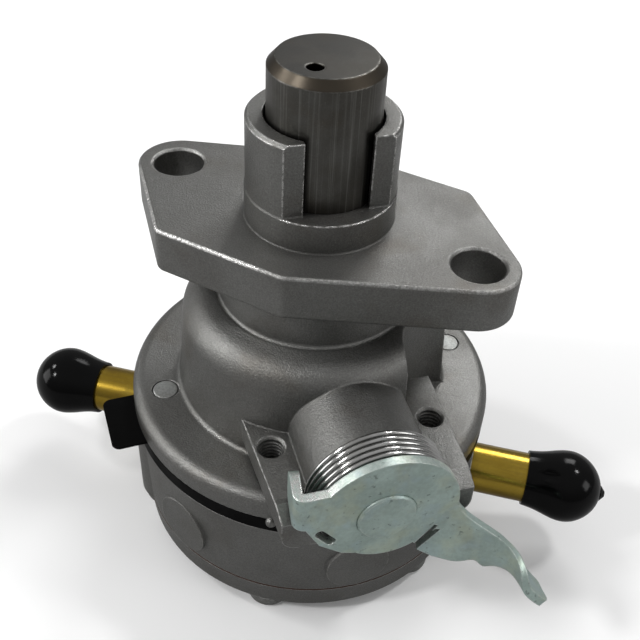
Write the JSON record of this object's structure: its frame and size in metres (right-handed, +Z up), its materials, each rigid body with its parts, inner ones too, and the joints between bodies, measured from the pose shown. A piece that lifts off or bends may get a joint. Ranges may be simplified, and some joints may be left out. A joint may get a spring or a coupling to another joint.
{
  "type": "fuel transfer pump",
  "caption": "Diaphragm fuel lift pump driven by a cam tappet, with a two-hole flange, brass hose nipples under caps and a hand priming lever.",
  "frame": {"origin": "on the tappet's axis at the flange's mounting face, midway between the two flange holes", "axes": "+Z up along the tappet towards the engine, +X through the flange's right-hand hole; the lever boss points to azimuth -45 degrees, the outlet nipple to 15 and the inlet nipple to 195"},
  "size_m": [0.1185, 0.0749, 0.0992],
  "materials": {
    "cast_aluminium": "bead blasted die casting",
    "ground_steel": "ground and hardened",
    "zinc_plated_steel": "zinc plated",
    "spring_steel": "bright drawn wire",
    "brass": "drawn tube",
    "black_vinyl": "dipped, glossy",
    "black_rubber": "matte",
    "gasket_fibre": "fibre gasket",
    "bronze": "sintered bronze"
  },
  "bodies": {
    "housing": {"upper_body": "cast_aluminium", "rod_guide_bush": "bronze", "rod_oil_seal": "black_rubber", "seal_retainer": "zinc_plated_steel", "return_spring": "spring_steel", "diaphragm": "black_rubber", "diaphragm_gasket": "gasket_fibre", "lower_body": "cast_aluminium", "cover_gasket": "gasket_fibre", "bottom_cover": "cast_aluminium", "body_screws": "zinc_plated_steel", "inlet_nipple": "brass", "outlet_nipple": "brass", "inlet_valve_seat": "bronze", "inlet_valve_spring": "spring_steel", "inlet_valve_cage": "zinc_plated_steel", "outlet_valve_seat": "bronze", "outlet_valve_spring": "spring_steel", "outlet_valve_cage": "zinc_plated_steel", "priming_spring": "spring_steel"},
    "tappet": {"tappet": "ground_steel"},
    "diaphragm_rod": {"pull_rod": "ground_steel", "spring_seat": "zinc_plated_steel", "thrust_collar": "ground_steel", "upper_diaphragm_plate": "zinc_plated_steel", "lower_diaphragm_plate": "zinc_plated_steel", "diaphragm_nut": "zinc_plated_steel"},
    "priming_lever": {"priming_lever": "zinc_plated_steel", "priming_shaft": "zinc_plated_steel", "shaft_o_ring": "black_rubber", "shaft_clip": "spring_steel"},
    "inlet_valve": {"inlet_valve_disc": "black_rubber"},
    "outlet_valve": {"outlet_valve_disc": "black_rubber"},
    "inlet_cap": {"inlet_cap": "black_vinyl"},
    "outlet_cap": {"outlet_cap": "black_vinyl"}
  },
  "joints": [
    {"name": "tappet_slide", "type": "slide", "parent": "housing", "child": "tappet", "axis": [0, 0, -1], "range_m": [0, 0.0045], "stiffness_N_per_m": 2000, "springref_m": -0.006},
    {"name": "diaphragm_stroke", "type": "slide", "parent": "housing", "child": "diaphragm_rod", "axis": [0, 0, -1], "range_m": [0, 0.0045], "deforming": ["return_spring", "diaphragm"]},
    {"name": "priming_hinge", "type": "hinge", "parent": "housing", "child": "priming_lever", "pos_m": [0, 0, -0.0296], "axis": [-0.7071, 0.7071, 0], "range_deg": [0, 28], "stiffness_Nm_per_rad": 0.2, "springref_deg": -45.84, "deforming": ["priming_spring"]},
    {"name": "inlet_valve_lift", "type": "slide", "parent": "housing", "child": "inlet_valve", "axis": [0, 0, 1], "range_m": [0, 0.001], "stiffness_N_per_m": 40, "springref_m": -0.001, "deforming": ["inlet_valve_spring"]},
    {"name": "outlet_valve_lift", "type": "slide", "parent": "housing", "child": "outlet_valve", "axis": [0, 0, -1], "range_m": [0, 0.001], "stiffness_N_per_m": 40, "springref_m": -0.001, "deforming": ["outlet_valve_spring"]},
    {"name": "inlet_cap_pull", "type": "slide", "parent": "housing", "child": "inlet_cap", "axis": [-0.9659, -0.2588, 0], "range_m": [0, 0.012]},
    {"name": "outlet_cap_pull", "type": "slide", "parent": "housing", "child": "outlet_cap", "axis": [0.9659, 0.2588, 0], "range_m": [0, 0.012]}
  ],
  "couplings": [
    {"joint": "diaphragm_stroke", "follows": "tappet_slide", "ratio": 1}
  ]
}
